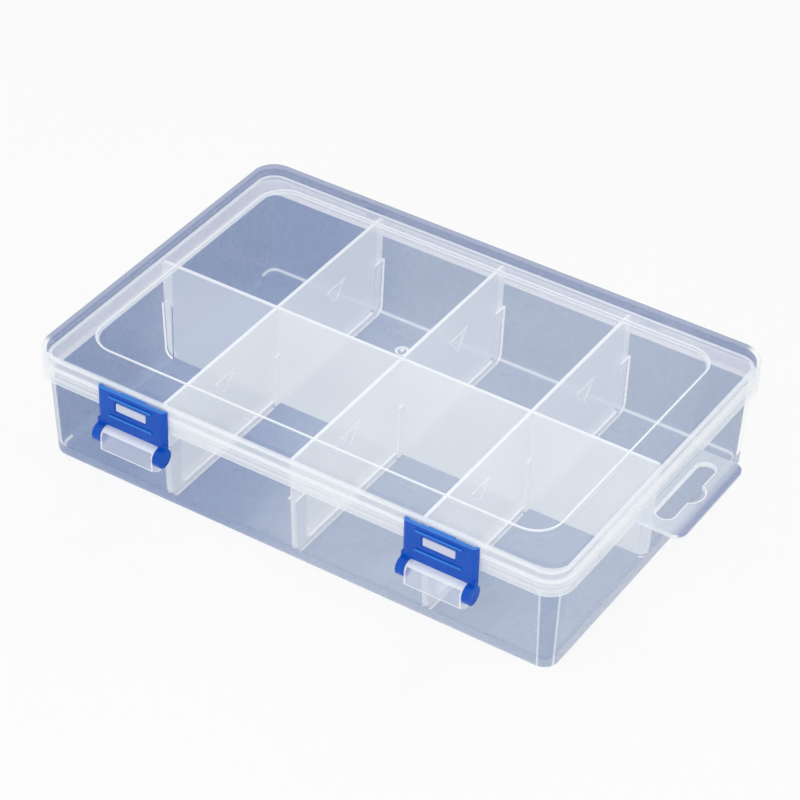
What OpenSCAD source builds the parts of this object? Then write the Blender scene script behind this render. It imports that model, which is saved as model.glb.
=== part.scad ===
// Flat clear case with a hinged lid, swing clasps, a hang tab and lift-out dividers.
// Millimetres. The origin is the middle of the tray's underside, +X runs along the long
// front side towards the hang tab, -Y is the clasp side and +Z is up.

/* [Case] */
// Length of the tray and lid, without the hang tab
case_l = 200; // [150:1:260]
// Depth from the clasp side to the hinge side
case_w = 134.5; // [100:0.5:180]
// Height over the closed lid
case_h = 45; // [38:0.5:70]
// Corner radius of the rim and lid in plan
corner_r = 9; // [7:0.5:14]

/* [Tray] */
// Height of the rim's shoulder, on which the lid's skirt closes
rim_z = 38.5; // [32:0.5:60]
// Height of the upstand over the shoulder, inside the lid's skirt
upstand = 2.1; // [1:0.1:3]
// Height of the down-turned hem round the rim
rim_h = 5.3; // [4.5:0.1:8]
// How far the hem's face stands out from the wall behind it
rim_out = 2; // [1.8:0.1:3]
// How far a wall leans in from the rim to the floor
wall_lean = 1.6; // [0.4:0.1:2]
// Thickness of the walls and the upstand
wall_t = 1.3; // [1:0.1:1.4]
// Thickness of the hem and the shoulder
hem_t = 1.1; // [0.9:0.1:1.3]
// Thickness of the floor
floor_t = 1.6; // [1.2:0.1:2.5]
// Radius of the outer edge round the floor
foot_r = 2.5; // [1.5:0.1:3]
// Radius between the floor and the inside of the walls
inner_r = 3.4; // [0.8:0.1:4]

/* [Lid] */
// Thickness of the lid's top
lid_t = 1.4; // [1:0.1:2]
// Thickness of the lid's skirt
skirt_t = 1.5; // [1.2:0.1:2]
// Radius of the lid's upper edge
lid_edge_r = 2.1; // [1:0.1:3]
// Gap between the rim and the closed lid's skirt
seat_gap = 0.1; // [0.05:0.05:0.3]
// Width of the raised border round the sunk panel
border_w = 12.7; // [8:0.1:20]
// How deep the lid's panel is sunk
panel_dip = 1; // [0.5:0.1:1.5]
// Corner radius of the sunk panel
panel_r = 9.5; // [4:0.5:16]
// Radius of the round gate mark in the middle of the panel
gate_r = 2; // [1.5:0.1:3]

/* [Dividers] */
// Thickness of every divider
div_t = 1.2; // [0.8:0.1:1.6]
// Height of the dividers' upper edge over the table
div_top = 41; // [34:0.1:56]
// Distance between neighbouring cross dividers
div_pitch = 49.3; // [34:0.1:64]
// Clearance between a divider's edges and the tray
div_gap = 0.25; // [0.15:0.05:0.5]
// Radius of a divider's upper outer corners
div_top_r = 1; // [0.5:0.1:2]
// Clearance at each face of a divider in its channel
slot_gap = 0.2; // [0.1:0.05:0.4]
// Radius of a cross divider's lower outer corner
div_r = 4.2; // [3:0.1:6]

/* [Channels] */
// Thickness of a channel rib
rib_t = 0.9; // [0.6:0.1:1.2]
// Height of the channels on the walls, over the table
rib_top = 24.2; // [15:0.1:28]
// How far the wall channels stand in from the wall
rib_in = 5; // [2:0.1:8]
// Height of the channels over the floor
rib_low = 3; // [1:0.1:5]
// Radius between a wall channel and a floor channel
rib_r = 2.6; // [1:0.1:4]
// Depth of the channels on the long divider's faces
pad_in = 2.5; // [1.5:0.1:4]
// Depth of the channels that hold the long divider's ends
end_in = 3; // [2:0.1:6]

/* [Hang tab] */
// Length of the tab outwards from the rim
tab_out = 16; // [14:0.5:22]
// Width of the tab along the rim
tab_w = 42; // [38:1:60]
// Thickness of the tab
tab_t = 1.5; // [1:0.1:2.5]
// Radius of the tab's outer corners
tab_r = 3.8; // [1:0.1:6]
// Length of the hang slot
slot_l = 32; // [28:0.5:34]
// Width of the hang slot
slot_w = 6.4; // [5:0.1:7]
// Distance from the rim to the slot's near side
slot_from = 2.8; // [2:0.1:4]
// Radius of the slot's middle hump
hump_r = 5.35; // [4:0.05:6]
// How far the hump rises over the slot
hump_out = 3; // [1.5:0.1:4]

/* [Clasps] */
// Distance of each clasp's middle from the case's middle
clasp_x = 58.3; // [40:0.1:70]
// Width of a clasp
clasp_w = 26.8; // [22:0.2:32]
// Thickness of the clasp plate
clasp_t = 1.3; // [1:0.1:1.8]
// How far the clasp's front stands out from the rim
clasp_out = 2.2; // [2:0.1:3]
// Radius of the clasp's long outer edges
clasp_r = 1.7; // [0.8:0.1:1.9]
// How far the clasp's flange reaches up over the rim's edge
clasp_up = 3.8; // [2:0.1:4.2]
// Height of the rim's shoulder over the pivot
pivot_drop = 14; // [13:0.5:20]
// Distance of the pivot out from the rim's face
pivot_out = 2.3; // [1.8:0.1:3]
// Radius of the round ears at the pivot
ear_r = 3.3; // [3.2:0.1:4.2]
// Thickness of each ear
ear_t = 2.8; // [2.2:0.1:3.5]
// Radius of the stub axles
axle_r = 1.5; // [1.2:0.1:1.8]
// Length of the stub axles in the ears
axle_l = 1.7; // [1.2:0.1:1.9]
// Running clearance round every axle and hinge pin
run_gap = 0.06; // [0.03:0.01:0.09]
// Gap at the sides of a pivot or hinge knuckle
side_gap = 0.2; // [0.15:0.05:0.4]
// Gap between a closed clasp and the case
clasp_gap = 0.25; // [0.2:0.05:0.4]
// Width of the window in the clasp
window_w = 12.5; // [8:0.5:15]
// Height of the window in the clasp
window_h = 4; // [2.5:0.5:5]
// Radius of the pivot block's round top
block_r = 2.8; // [2.5:0.1:3]
// Distance of the block's underside below the pivot
block_down = 7; // [5:0.5:8]

/* [Hinge] */
// Distance of each hinge from the case's middle
hinge_x = 55; // [35:1:75]
// Distance of the hinge pin out from the rim's face
hinge_out = 2.8; // [2.7:0.1:3.4]
// Height of the rim's shoulder over the hinge pin
hinge_drop = 1.9; // [1.5:0.1:2.5]
// Radius of the hinge pins
pin_r = 1.25; // [1:0.05:1.3]
// Radius of the lid's knuckles
knuckle_r = 2.3; // [2.2:0.1:2.4]
// Width of a knuckle
knuckle_w = 7; // [5:0.5:14]
// Radius of the tray's hinge ears
lug_r = 2.2; // [2:0.1:2.4]
// Thickness of a hinge ear
lug_t = 2; // [1.8:0.1:4]
// Width of the gap through which a knuckle snaps on its pin
snap_w = 2.1; // [1.8:0.1:2.3]

/* [Hidden] */
$fn = 64;

// Middles of the corner radii, and the distances of the faces from them
axis_x = case_l / 2 - corner_r;
axis_y = case_w / 2 - corner_r;
band_z = rim_z - rim_h;
top_z = rim_z + upstand;
wall_top = corner_r - rim_out;
wall_low = wall_top - wall_lean;
in_top = wall_top - wall_t;
in_low = wall_low - wall_t;
div_low = floor_t + 0.1;
channel_w = div_t + 2 * slot_gap;
front_y = -case_w / 2;
back_y = case_w / 2;
hinge_y = back_y + hinge_out;
hinge_z = rim_z - hinge_drop;
pivot_y = front_y - pivot_out;
pivot_z = rim_z - pivot_drop;
clasp_top = rim_z + clasp_up;
block_w = clasp_w - 2 * ear_t - 2 * side_gap;
tiny = 0.01;

// Distance of a wall's inner face from the corner axis at a height
function inner_at(z) = in_low + (in_top - in_low) * (z - foot_r) / (rim_z - foot_r);

clear_tint = [0.72, 0.78, 0.85, 0.45];
milky_tint = [0.86, 0.89, 0.92, 0.7];
clasp_tint = [0.07, 0.28, 0.74];

// A profile carried round a rounded rectangle: x is the distance from the corner axes
module carried(ax, ay) {
    for (c = [[1, 1, 0], [-1, 1, 90], [-1, -1, 180], [1, -1, 270]])
        translate([c[0] * ax, c[1] * ay, 0])
            rotate([0, 0, c[2]]) rotate_extrude(angle = 90) children();
    for (turn = [0, 180])
        rotate([0, 0, turn]) {
            translate([-ax, ay, 0]) rotate([90, 0, 90]) linear_extrude(2 * ax) children();
            translate([ax, ay, 0]) rotate([90, 0, 0]) linear_extrude(2 * ay) children();
        }
}

// The block between the corner axes
module core(ax, ay, z0, z1) {
    translate([-ax, -ay, z0]) cube([2 * ax, 2 * ay, z1 - z0]);
}

module rounded_square(hx, hy, r) {
    square([2 * hx - 2 * r, 2 * hy], center = true);
    square([2 * hx, 2 * hy - 2 * r], center = true);
    for (sx = [-1, 1], sy = [-1, 1])
        translate([sx * (hx - r), sy * (hy - r)]) circle(r);
}

// A profile in the plane of y and z, extruded along x about a middle
module across(mid_x, width) {
    translate([mid_x - width / 2, 0, 0]) rotate([90, 0, 90]) linear_extrude(width) children();
}

// The outer half of a circle, for a rounded edge
module half_round(r) {
    intersection() {
        circle(r);
        translate([0, -r]) square([r, 2 * r]);
    }
}

module tray_outside() {
    hem_in = corner_r - hem_t;
    under = rim_z - hem_t;
    polygon([[0, 0], [wall_low - foot_r, 0], [wall_low - foot_r, foot_r],
             [wall_low, foot_r], [wall_top, under], [hem_in, under],
             [hem_in, band_z], [corner_r - 0.3, band_z], [corner_r, band_z + 0.3],
             [corner_r, rim_z], [wall_top, rim_z], [wall_top, top_z], [0, top_z]]);
    translate([wall_low - foot_r, foot_r]) half_round(foot_r);
}

module tray_inside() {
    low = floor_t + inner_r;
    polygon([[0, floor_t], [inner_at(low) - inner_r, floor_t],
             [inner_at(low) - inner_r, low], [inner_at(low), low],
             [in_top, rim_z], [in_top, top_z + 1], [0, top_z + 1]]);
    translate([inner_at(low) - inner_r, low]) half_round(inner_r);
}

module tray_shell() {
    difference() {
        union() {
            carried(axis_x, axis_y) tray_outside();
            core(axis_x, axis_y, 0, top_z);
        }
        carried(axis_x, axis_y) tray_inside();
        core(axis_x, axis_y, floor_t, top_z + 1);
    }
}

// One side of a cross channel: a wall rib that runs on as a low rib over the floor
module channel_rib() {
    face_y = axis_y + in_low - rib_in;
    low_z = floor_t + rib_low;
    start_y = div_t / 2 + div_gap + pad_in + 0.6;
    intersection() {
        translate([axis_y, 0]) inside_let_in();
        union() {
            translate([start_y, floor_t - 0.6]) square([case_w / 2 - start_y, rib_low + 0.6]);
            translate([face_y, floor_t - 0.6])
                square([case_w / 2 - face_y, rib_top - floor_t + 0.2]);
            translate([face_y + 0.4, rib_top - 0.5]) square([case_w / 2 - face_y, 0.5]);
        }
    }
    difference() {
        translate([face_y - rib_r, low_z - tiny]) square([rib_r + tiny, rib_r + tiny]);
        translate([face_y - rib_r, low_z + rib_r]) circle(rib_r);
    }
}

// The inside of the tray in section, let into its walls and floor by half a wall
module inside_let_in() {
    grow = wall_t / 2;
    low = floor_t + inner_r;
    polygon([[-axis_x, floor_t - grow], [inner_at(low) - inner_r, floor_t - grow],
             [inner_at(low) - inner_r, low], [inner_at(low) + grow, low],
             [inner_at(rib_top) + grow, rib_top], [-axis_x, rib_top]]);
    translate([inner_at(low) - inner_r, low]) circle(inner_r + grow);
}

module channels() {
    for (i = [-1:1], side = [-1, 1], back = [0, 1])
        mirror([0, 1 - back, 0])
            across(i * div_pitch + side * (channel_w + rib_t) / 2, rib_t) channel_rib();
    for (turn = [0, 180], side = [-1, 1])
        rotate([0, 0, turn])
            translate([0, side * (channel_w + rib_t) / 2 + rib_t / 2, 0])
                rotate([90, 0, 0]) linear_extrude(rib_t) end_rib();
}

module end_rib() {
    face_x = axis_x + in_low - end_in;
    intersection() {
        translate([axis_x, 0]) inside_let_in();
        union() {
            translate([face_x, floor_t - 0.6])
                square([case_l / 2 - face_x, rib_top - floor_t + 0.2]);
            translate([face_x + 0.4, rib_top - 0.5]) square([case_l / 2 - face_x, 0.5]);
        }
    }
}

module slot_shape() {
    mid_x = case_l / 2 + slot_from + slot_w / 2;
    translate([mid_x, 0]) {
        square([slot_w, slot_l - slot_w], center = true);
        for (s = [-1, 1]) translate([0, s * (slot_l - slot_w) / 2]) circle(slot_w / 2);
        intersection() {
            translate([slot_w / 2 + hump_out - hump_r, 0]) circle(hump_r);
            translate([0, -hump_r]) square([slot_w + hump_out, 2 * hump_r]);
        }
    }
}

module hang_tab() {
    from_x = case_l / 2 - hem_t / 2;
    to_x = case_l / 2 + tab_out;
    translate([0, 0, band_z]) linear_extrude(tab_t) difference() {
        union() {
            translate([from_x, -tab_w / 2]) square([to_x - tab_r - from_x, tab_w]);
            translate([from_x, -tab_w / 2 + tab_r]) square([to_x - from_x, tab_w - 2 * tab_r]);
            for (s = [-1, 1]) translate([to_x - tab_r, s * (tab_w / 2 - tab_r)]) circle(tab_r);
        }
        slot_shape();
    }
}

module block_profile() {
    under_z = pivot_z - block_down;
    set_in = wall_t / 2;
    polygon([[pivot_y, pivot_z + block_r],
             [-axis_y - inner_at(pivot_z + block_r) - set_in, pivot_z + block_r],
             [-axis_y - inner_at(under_z) - set_in, under_z], [pivot_y + 0.4, under_z],
             [pivot_y - block_r, under_z + 2.2], [pivot_y - block_r, pivot_z],
             [pivot_y, pivot_z]]);
    translate([pivot_y, pivot_z]) circle(block_r);
}

module pivot_block(mid_x) {
    across(mid_x, block_w) block_profile();
    translate([mid_x, pivot_y, pivot_z]) rotate([0, 90, 0])
        cylinder(h = block_w + 2 * side_gap + 2 * axle_l, r = axle_r, center = true);
}

module lug_profile() {
    edge = lug_r * sin(45);
    polygon([[hinge_y, hinge_z], [hinge_y - edge, hinge_z + edge],
             [back_y - hem_t / 2, rim_z - 0.6], [back_y - hem_t / 2, band_z + 0.5],
             [back_y + 0.5, band_z + 0.5], [hinge_y + edge, hinge_z - edge]]);
    translate([hinge_y, hinge_z]) circle(lug_r);
}

module tray_hinge(mid_x) {
    span = knuckle_w + 2 * side_gap;
    for (s = [-1, 1])
        across(mid_x + s * (span + lug_t) / 2, lug_t) lug_profile();
    translate([mid_x, hinge_y, hinge_z]) rotate([0, 90, 0])
        cylinder(h = span + lug_t, r = pin_r, center = true);
}

module tray() {
    color(clear_tint) {
        tray_shell();
        channels();
        hang_tab();
        for (s = [-1, 1]) {
            pivot_block(s * clasp_x);
            tray_hinge(s * hinge_x);
        }
    }
}

module lid_outside() {
    polygon([[0, rim_z + seat_gap], [corner_r, rim_z + seat_gap],
             [corner_r, case_h - lid_edge_r], [corner_r - lid_edge_r, case_h - lid_edge_r],
             [corner_r - lid_edge_r, case_h], [0, case_h]]);
    translate([corner_r - lid_edge_r, case_h - lid_edge_r]) circle(lid_edge_r);
}

module lid_inside() {
    in_r = max(lid_edge_r - lid_t, 0.5);
    face = corner_r - skirt_t;
    roof = case_h - lid_t;
    polygon([[0, rim_z - 1], [face, rim_z - 1], [face, roof - in_r],
             [face - in_r, roof - in_r], [face - in_r, roof], [0, roof]]);
    translate([face - in_r, roof - in_r]) circle(in_r);
}

module knuckle_profile() {
    near_y = hinge_y - knuckle_r + 0.05;
    difference() {
        union() {
            translate([hinge_y, hinge_z]) circle(knuckle_r);
            polygon([[back_y - skirt_t / 2, rim_z + 0.8], [back_y - skirt_t / 2, rim_z + 4.2],
                     [back_y + 0.8, rim_z + 4.2],
                     [hinge_y + knuckle_r * sin(32), hinge_z + knuckle_r * cos(32)],
                     [hinge_y, hinge_z], [near_y, hinge_z + 0.3], [near_y, rim_z + 0.8]]);
        }
        translate([hinge_y, hinge_z]) circle(pin_r + run_gap);
        translate([hinge_y, hinge_z]) rotate(-50)
            translate([0, -snap_w / 2]) square([2 * knuckle_r, snap_w]);
    }
}

module lid() {
    panel_x = case_l / 2 - border_w;
    panel_y = case_w / 2 - border_w;
    grow = 1.2;
    color(clear_tint) {
        difference() {
            union() {
                difference() {
                    union() {
                        carried(axis_x, axis_y) lid_outside();
                        core(axis_x, axis_y, rim_z + seat_gap, case_h);
                    }
                    carried(axis_x, axis_y) lid_inside();
                    core(axis_x, axis_y, rim_z - 1, case_h - lid_t);
                }
                translate([0, 0, case_h - panel_dip - lid_t])
                    linear_extrude(panel_dip + lid_t / 2)
                        rounded_square(panel_x + grow, panel_y + grow, panel_r + grow);
            }
            translate([0, 0, case_h - panel_dip])
                linear_extrude(panel_dip + 1) rounded_square(panel_x, panel_y, panel_r);
            translate([0, 0, case_h - panel_dip - 0.4]) cylinder(h = 1, r = gate_r);
        }
        translate([0, 0, case_h - panel_dip - lid_t / 2]) cylinder(h = lid_t / 2 + 0.1, r = 0.7);
        for (s = [-1, 1]) across(s * hinge_x, knuckle_w) knuckle_profile();
    }
}

module clasp_section() {
    half = clasp_w / 2;
    front = front_y - clasp_out;
    rear = front_y - clasp_gap;
    difference() {
        intersection() {
            union() {
                translate([-half + clasp_r, front]) square([2 * (half - clasp_r), clasp_out]);
                translate([-half, front + clasp_r]) square([2 * half, clasp_out]);
                for (s = [-1, 1])
                    translate([s * (half - clasp_r), front + clasp_r]) circle(clasp_r);
            }
            translate([-half, front]) square([2 * half, rear - front]);
        }
        translate([-half + clasp_t, front + clasp_t])
            square([2 * (half - clasp_t), rear - front]);
    }
}

module clasp_arm() {
    front = front_y - clasp_out;
    rear = front_y - clasp_gap;
    translate([pivot_y, pivot_z]) circle(ear_r);
    polygon([[front, pivot_z], [rear, pivot_z], [rear, pivot_z + ear_r + 2],
             [front, pivot_z + ear_r + 2]]);
}

module clasp(mid_x) {
    plate_z = pivot_z + ear_r + 0.5;
    front = front_y - clasp_out;
    window_z = clasp_top - 5.3;
    color(clasp_tint)
        translate([mid_x, 0, 0])
            difference() {
                union() {
                    translate([0, 0, plate_z])
                        linear_extrude(clasp_top - plate_z) clasp_section();
                    translate([-clasp_w / 2 + clasp_r, front, clasp_top - clasp_t])
                        cube([clasp_w - 2 * clasp_r, clasp_out - clasp_gap - 0.5, clasp_t]);
                    translate([-4.8, front, clasp_top - clasp_t])
                        cube([9.6, clasp_out - clasp_gap + 0.05, clasp_t]);
                    for (s = [-1, 1])
                        across(s * (clasp_w - ear_t) / 2, ear_t) clasp_arm();
                    for (z = [window_z - window_h / 2 - 2.2, window_z + window_h / 2 + 1.4])
                        translate([-8.4, front - 0.45, z - 0.35]) cube([16.8, 0.9, 0.7]);
                }
                translate([-window_w / 2, front - 1, window_z - window_h / 2])
                    cube([window_w, clasp_t + 2, window_h]);
                translate([0, pivot_y, pivot_z]) rotate([0, 90, 0])
                    cylinder(h = block_w + 2 * side_gap + 2 * axle_l + 0.4,
                             r = axle_r + run_gap, center = true);
            }
}

module clasp_left() {
    clasp(-clasp_x);
}

module clasp_right() {
    clasp(clasp_x);
}

// Outline of a cross divider on the hinge side: y out from the middle, z up
module cross_outline() {
    near_y = div_t / 2 + div_gap;
    low_z = div_low + div_r;
    low_y = axis_y + inner_at(low_z) - div_gap;
    far_y = axis_y + in_top - div_gap;
    round_z = div_top - div_top_r;
    polygon([[near_y, div_low], [low_y - div_r, div_low], [low_y - div_r, low_z],
             [low_y, low_z], [far_y, rim_z], [far_y, round_z],
             [far_y - div_top_r, round_z], [far_y - div_top_r, div_top],
             [near_y, div_top]]);
    translate([low_y - div_r, low_z]) circle(div_r);
    translate([far_y - div_top_r, round_z]) circle(div_top_r);
}

module cross_divider(place, back) {
    color(milky_tint)
        mirror([0, back ? 0 : 1, 0])
            across(place * div_pitch, div_t) cross_outline();
}

module long_outline() {
    low_z = div_low + div_r;
    low_x = axis_x + inner_at(low_z) - div_gap;
    far_x = axis_x + in_top - div_gap;
    round_z = div_top - div_top_r;
    for (side = [0, 1]) mirror([side, 0]) {
        polygon([[0, div_low], [low_x - div_r, div_low], [low_x - div_r, low_z],
                 [low_x, low_z], [far_x, rim_z], [far_x, round_z],
                 [far_x - div_top_r, round_z], [far_x - div_top_r, div_top], [0, div_top]]);
        translate([low_x - div_r, low_z]) circle(div_r);
        translate([far_x - div_top_r, round_z]) circle(div_top_r);
    }
}

module long_divider() {
    pad_top = rib_top - 1.7;
    color(milky_tint) {
        translate([0, div_t / 2, 0]) rotate([90, 0, 0]) linear_extrude(div_t) long_outline();
        for (i = [-1:1], side = [-1, 1])
            translate([i * div_pitch + side * (channel_w + rib_t) / 2 - rib_t / 2,
                       -div_t / 2 - pad_in, div_low])
                cube([rib_t, div_t + 2 * pad_in, pad_top - div_low]);
    }
}

module divider_back_left() {
    cross_divider(-1, true);
}

module divider_back_middle() {
    cross_divider(0, true);
}

module divider_back_right() {
    cross_divider(1, true);
}

module divider_front_left() {
    cross_divider(-1, false);
}

module divider_front_middle() {
    cross_divider(0, false);
}

module divider_front_right() {
    cross_divider(1, false);
}

tray();
lid();
clasp_left();
clasp_right();
long_divider();
divider_back_left();
divider_back_middle();
divider_back_right();
divider_front_left();
divider_front_middle();
divider_front_right();
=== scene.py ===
"""The looks of a clear divided storage case.

The tray and lid are see-through, the dividers are milky and the clasps blue.
"""

import math

import bmesh
import bpy
from bpy.props import FloatProperty, FloatVectorProperty, PointerProperty
from mathutils import Matrix, Vector


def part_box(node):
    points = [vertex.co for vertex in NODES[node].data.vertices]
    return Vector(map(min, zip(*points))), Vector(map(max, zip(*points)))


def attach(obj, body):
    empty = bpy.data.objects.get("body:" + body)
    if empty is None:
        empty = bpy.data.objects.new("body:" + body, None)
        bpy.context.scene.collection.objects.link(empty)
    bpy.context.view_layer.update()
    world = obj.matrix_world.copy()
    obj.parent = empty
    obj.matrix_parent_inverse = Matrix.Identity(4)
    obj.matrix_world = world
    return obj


bl_info = {
    "name": "Divided Storage Case",
    "version": (1, 0, 0),
    "blender": (4, 5, 0),
    "location": "3D Viewport > Sidebar > Storage Case",
    "description": "Finishes the tray, lid, dividers and clasps of a clear storage case",
    "category": "Object",
}

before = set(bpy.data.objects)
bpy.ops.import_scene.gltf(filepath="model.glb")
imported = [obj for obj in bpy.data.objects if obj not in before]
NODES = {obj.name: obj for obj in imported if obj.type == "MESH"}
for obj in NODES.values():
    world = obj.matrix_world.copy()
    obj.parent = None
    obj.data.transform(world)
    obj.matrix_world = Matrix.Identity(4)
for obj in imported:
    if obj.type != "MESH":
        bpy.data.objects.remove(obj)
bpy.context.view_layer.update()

DIVIDERS = [
    "divider_back_left", "divider_back_middle", "divider_back_right",
    "divider_front_left", "divider_front_middle", "divider_front_right",
]

# Distance of the triangles' middles from the long divider and their heights, by side
MARK_MIDDLE = {1: 0.0342, -1: 0.031}
MARK_HEIGHT = {1: 0.0272, -1: 0.0295}
# Share of a triangle's relief that sinks into its divider
MARK_SINK = 0.2

# Heights over the table, in metres
FLOOR_LINE = 0.0026
FLOOR_ZONE = 0.006
CHANNEL_FOOT = 0.001
CHANNEL_BEND = 0.0045
CORNER_FOOT = 0.0012
FOOT_TOP = 0.0014
UNDER_TOP = 0.0053
# How much higher the part under the cavity reaches on the short sides
UNDER_RISE = 0.0018

# Depths in from the case's outline, in metres
CHANNEL_DEPTH = 0.003
CHANNEL_EDGE = 0.0062
WALL_ZONE = 0.012
DIVIDER_END = 0.0078
HEM_SKIN = 0.0008
SKIRT_SKIN = 0.0006
SKIRT_DEPTH = 0.003
FAR_EDGE = 0.0040
NEAR_ZONE = 0.006

# Half widths of lines and half sizes of small places, in metres
HAIR = 0.0002
LINE = 0.0003
LOW_EDGE = 0.0004
FRAME = 0.0005
STEP = 0.0006
CHANNEL_TOP = 0.0008
END_CHANNEL = 0.004
WINDOW = (0.0066, 0.0026)

# The hump in the hang slot's outer side: its middle's place past the slot's, and its radius
HUMP_SHIFT = 0.0009
HUMP_RADIUS = 0.00535
# Where the tab's shade starts and ends, in from its outer edge
TAB_SHADE = (0.0055, 0.001)

# The mark of the moulding gate in the middle of the lid: radius of its ring and of its dot
GATE_RING = 0.002
GATE_DOT = 0.0007

# Where x plus a share of y goes from the compartments in painted shade to those in painted light
LIT_FROM, LIT_TO = -0.055, -0.01
LIT_SLANT = 0.3

# How much of what is behind it each place on a plastic hides, from 0 to 1
BODY = {
    "channel": 0.4, "hem": 0.62, "window": 0.95, "corner": 0.55, "left_corner": 0.7,
    "block": 0.43, "tab": 0.62, "tab_shade": 0.85, "under": 0.82, "foot": 0.8,
    "tray_highlight": 0.85, "skirt": 0.55, "step": 0.6, "lid_edge": 0.88, "long_left_shade_share": 0.72,
    "divider_highlight": 0.92, "mark": 0.6, "catch": 0.92,
}
# How strongly the fainter painted highlight lines and edges show, and the lid's painted shade at
# its far edge, from 0 to 1
SHOWS = {
    "end_channel": 0.12, "floor_line": 0.6, "hem_low": 0.9, "hem_top": 0.7, "corner_line": 0.7,
    "step_low": 0.7, "skirt_low": 0.7, "skirt_middle": 0.5, "skirt_top": 0.6, "far_edge": 0.9,
    "divider_end": 0.6, "clasp_rib": 0.6, "clasp_flange": 0.5,
}

# Angles round a corner, in degrees from a short side to a long one
FRONT_LINE, SIDE_LINE = 84, 28
CORNER_FROM, CORNER_TO = 30, 80
LEFT_CORNER_FROM, LEFT_CORNER_TO = 25, 62

PLASTIC_IOR = 1.49
# Keeps a division by zero away
TINY = 0.000001

# Name, place, target, size and power of each lamp, in metres and watts
LAMPS = (
    ("back_lamp", (-0.353, 0.59, 0.65), (0.04, -0.025, 0.045), (0.34, 0.2), 0.3),
    ("front_lamp", (0.15, -0.75, 1.05), (0, 0, 0), (0.9, 0.3), 3.0),
    ("left_lamp", (-1.1, -0.7, 0.8), (0, 0, 0), (0.8, 0.8), 2.0),
    ("right_lamp", (1.2, -0.1, 0.9), (0, 0, 0), (0.3, 0.9), 2.0),
)


# Settings that a user would change


class CaseSettings(bpy.types.PropertyGroup):
    """Sizes of the case that the finishes follow."""

    length: FloatProperty(
        name="Length", description="Length of the tray and lid without the hang tab",
        default=0.2, unit="LENGTH")
    width: FloatProperty(
        name="Width", description="Depth from the clasps to the hinge",
        default=0.1345, unit="LENGTH")
    height: FloatProperty(
        name="Height", description="Height over the closed lid", default=0.045, unit="LENGTH")
    corner: FloatProperty(
        name="Corner radius", description="Radius of the rim and lid in plan",
        default=0.009, unit="LENGTH")
    rim: FloatProperty(
        name="Rim height", description="Height of the rim's shoulder over the table",
        default=0.0385, unit="LENGTH")
    band: FloatProperty(
        name="Hem height", description="Height of the hem's lower edge over the table",
        default=0.0332, unit="LENGTH")
    rib_top: FloatProperty(
        name="Channel height", description="Height of the channels on the walls",
        default=0.0242, unit="LENGTH")
    rib_low: FloatProperty(
        name="Low channel height", description="Height of the channels' part on the floor",
        default=0.0046, unit="LENGTH")
    panel_border: FloatProperty(
        name="Panel border", description="Width of the raised border round the sunk panel",
        default=0.0127, unit="LENGTH")
    panel_corner: FloatProperty(
        name="Panel corner", description="Corner radius of the sunk panel",
        default=0.0095, unit="LENGTH")
    lid_edge: FloatProperty(
        name="Lid edge", description="Radius of the lid's upper edge",
        default=0.0021, unit="LENGTH")
    divider_top: FloatProperty(
        name="Divider top", description="Height of the dividers' upper edges",
        default=0.041, unit="LENGTH")
    divider_pitch: FloatProperty(
        name="Divider pitch", description="Distance between neighbouring cross dividers",
        default=0.0493, unit="LENGTH")
    divider_thick: FloatProperty(
        name="Divider thickness", description="Thickness of every divider",
        default=0.0012, unit="LENGTH")
    clasp_place: FloatProperty(
        name="Clasp place", description="Distance of each clasp's middle from the case's middle",
        default=0.0583, unit="LENGTH")
    block_width: FloatProperty(
        name="Pivot block width", description="Width of the blocks that carry the clasps",
        default=0.0208, unit="LENGTH")
    block_top: FloatProperty(
        name="Pivot block top", description="Height of the pivot blocks' upper edge",
        default=0.0273, unit="LENGTH")
    block_low: FloatProperty(
        name="Pivot block underside", description="Height of the pivot blocks' underside",
        default=0.0175, unit="LENGTH")
    window_middle: FloatProperty(
        name="Window middle", description="Height of the middle of the clasps' windows",
        default=0.037, unit="LENGTH")
    clasp_face: FloatProperty(
        name="Clasp face", description="How far the clasps' faces stand out from the rim",
        default=0.0022, unit="LENGTH")
    clasp_top: FloatProperty(
        name="Clasp top", description="Height of the clasps' upper edges over the table",
        default=0.0423, unit="LENGTH")
    catch_width: FloatProperty(
        name="Catch width", description="Width of the catches in the clasps' windows",
        default=0.0119, unit="LENGTH")
    catch_height: FloatProperty(
        name="Catch height", description="Height of the catches", default=0.0032, unit="LENGTH")
    catch_drop: FloatProperty(
        name="Catch drop", description="How far a catch sits below the window's middle",
        default=0.00015, unit="LENGTH")
    catch_root: FloatProperty(
        name="Catch root", description="How far a catch reaches into the hem", default=0.0005,
        unit="LENGTH")
    mark_width: FloatProperty(
        name="Mark width", description="Width of the triangles on the dividers",
        default=0.0115, unit="LENGTH")
    mark_height: FloatProperty(
        name="Mark height", description="Height of the triangles on the dividers",
        default=0.0072, unit="LENGTH")
    mark_stroke: FloatProperty(
        name="Mark stroke", description="Width of the triangles' strokes", default=0.0006,
        unit="LENGTH")
    mark_proud: FloatProperty(
        name="Mark relief", description="How far the triangles stand out", default=0.0003,
        unit="LENGTH")
    slot_place: FloatProperty(
        name="Hang slot place", description="Distance of the slot's middle from the case's middle",
        default=0.106, unit="LENGTH")
    slot_length: FloatProperty(
        name="Hang slot length", description="Length of the hang slot", default=0.032,
        unit="LENGTH")
    slot_width: FloatProperty(
        name="Hang slot width", description="Width of the hang slot", default=0.0064,
        unit="LENGTH")
    tab_edge: FloatProperty(
        name="Tab edge", description="Distance of the tab's outer edge from the case's middle",
        default=0.116, unit="LENGTH")


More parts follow.
